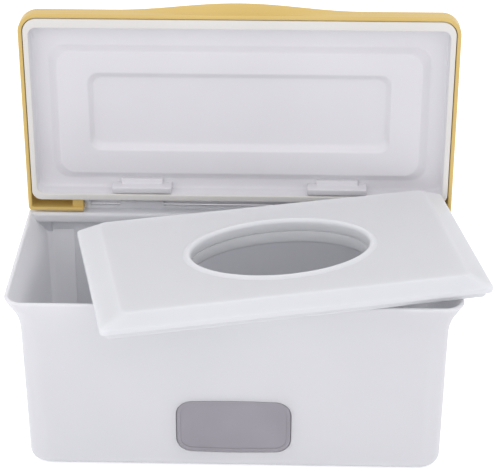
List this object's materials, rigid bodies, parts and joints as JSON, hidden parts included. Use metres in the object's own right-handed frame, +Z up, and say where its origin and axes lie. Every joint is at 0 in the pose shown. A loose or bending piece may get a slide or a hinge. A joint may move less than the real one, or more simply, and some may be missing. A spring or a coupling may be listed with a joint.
{
  "type": "wet wipes dispenser",
  "caption": "Rectangular table-top wet wipes box with a hinged lid standing open, a small window in front and a loose oval-holed dispensing plate laid across the mouth.",
  "frame": {"origin": "middle of the tub's flat underside", "axes": "+X to the right seen from the front, +Y from the window side to the hinge side, +Z up"},
  "size_m": [0.2543, 0.1553, 0.2265],
  "materials": {
    "tub_moulding": "white polypropylene, fine satin gloss",
    "window_panel": "frosted translucent grey, lightly polished",
    "lid_moulding": "pale mustard yellow, satin",
    "liner_moulding": "white, soft satin",
    "seal_strip": "warm white, matte",
    "plate_moulding": "white, satin gloss",
    "pin_steel": "drawn steel rod",
    "weight_steel": "plain rolled steel",
    "foot_rubber": "grey silicone rubber, matte"
  },
  "bodies": {
    "tub": {"tub": "tub_moulding", "window": "window_panel", "hinge_pin_left": "pin_steel", "hinge_pin_right": "pin_steel", "plate_cover": "plate_moulding", "plate_base": "plate_moulding", "plate_weight_left": "weight_steel", "plate_weight_right": "weight_steel", "foot_front_left": "foot_rubber", "foot_front_right": "foot_rubber", "foot_rear_left": "foot_rubber", "foot_rear_right": "foot_rubber"},
    "lid": {"lid_shell": "lid_moulding", "lid_liner": "liner_moulding", "lid_seal": "seal_strip"}
  },
  "joints": [
    {"name": "lid_hinge", "type": "hinge", "parent": "tub", "child": "lid", "pos_m": [0, 0.05325, 0.1094], "axis": [1, 0, 0], "range_deg": [0, 39]}
  ]
}
